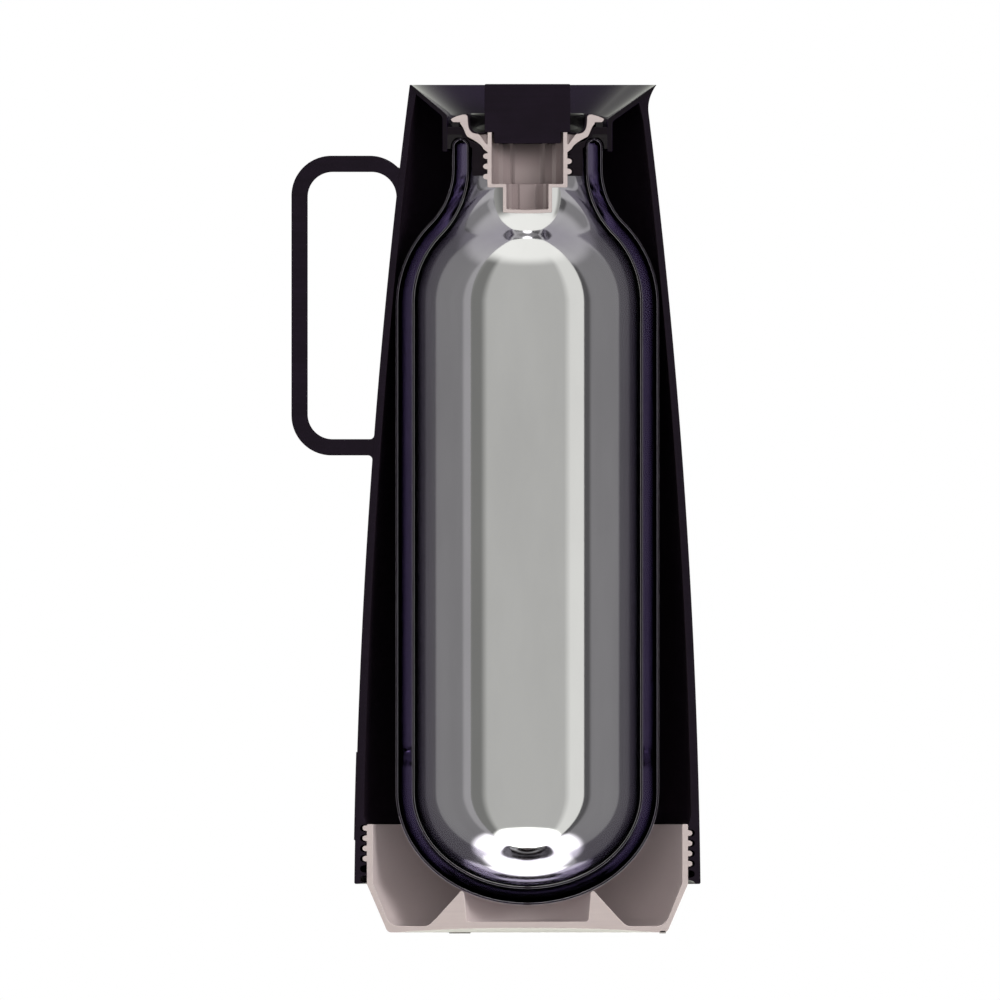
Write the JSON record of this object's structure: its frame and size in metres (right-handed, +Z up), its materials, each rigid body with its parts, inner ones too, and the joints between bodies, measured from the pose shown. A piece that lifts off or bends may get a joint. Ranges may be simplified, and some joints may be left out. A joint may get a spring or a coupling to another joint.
{
  "type": "vacuum jug",
  "caption": "Insulated vacuum jug in half section: shell with handle and beak, double-walled silvered flask, screw stopper, pouring funnel and screw-in base.",
  "frame": {"origin": "on the jug's axis at floor level, in the plane of the cut", "axes": "+Z up along the jug's axis; the cut is the plane y = 0 and the half that is kept has y >= 0; the beak points to +X and the handle to -X"},
  "size_m": [0.1432, 0.0606, 0.2973],
  "materials": {
    "shell": "black polypropylene, satin inside, polished cut faces",
    "handle": "black polypropylene, satin",
    "badge": "black, polished, bare",
    "funnel": "dark grey polypropylene, glossy",
    "collar": "black polypropylene, satin",
    "gasket": "black silicone rubber, satin",
    "outer_glass": "silvered glass, clear cut edge",
    "inner_glass": "silvered glass, clear cut edge",
    "spacer": "pressed fibre pad, matte",
    "base": "pale mauve polypropylene, semi-gloss",
    "foot": "pale grey rubber, matte",
    "cup": "pale mauve polypropylene, semi-gloss",
    "knob": "black polypropylene, glossy"
  },
  "bodies": {
    "jug": {"outer_shell": "shell", "handle": "handle", "badge_plate": "badge", "pouring_funnel": "funnel", "neck_collar": "collar", "rim_gasket": "gasket"},
    "flask": {"outer_vessel": "outer_glass", "inner_vessel": "inner_glass", "spacer_pad": "spacer"},
    "base": {"screw_base": "base", "foot_pad_right": "foot", "foot_pad_rear": "foot"},
    "stopper_seal": {"stopper_gasket": "gasket"},
    "stopper": {"stopper_cup": "cup", "stopper_knob": "knob"}
  },
  "joints": [
    {"name": "flask_drop", "type": "slide", "parent": "jug", "child": "flask", "axis": [0, 0, -1], "range_m": [0, 0.02142]},
    {"name": "base_turn", "type": "hinge", "parent": "flask", "child": "base", "pos_m": [0, 0, 0], "axis": [0, 0, -1], "range_deg": [0, 2160]},
    {"name": "stopper_lift", "type": "slide", "parent": "jug", "child": "stopper_seal", "axis": [0, 0, 1], "range_m": [0, 0.01071]},
    {"name": "stopper_turn", "type": "hinge", "parent": "stopper_seal", "child": "stopper", "pos_m": [0, 0, 0.27], "axis": [0, 0, 1], "range_deg": [0, 1080]}
  ],
  "couplings": [
    {"joint": "flask_drop", "follows": "base_turn", "m_per_rad": 0.00056818},
    {"joint": "stopper_lift", "follows": "stopper_turn", "m_per_rad": 0.00056818}
  ]
}
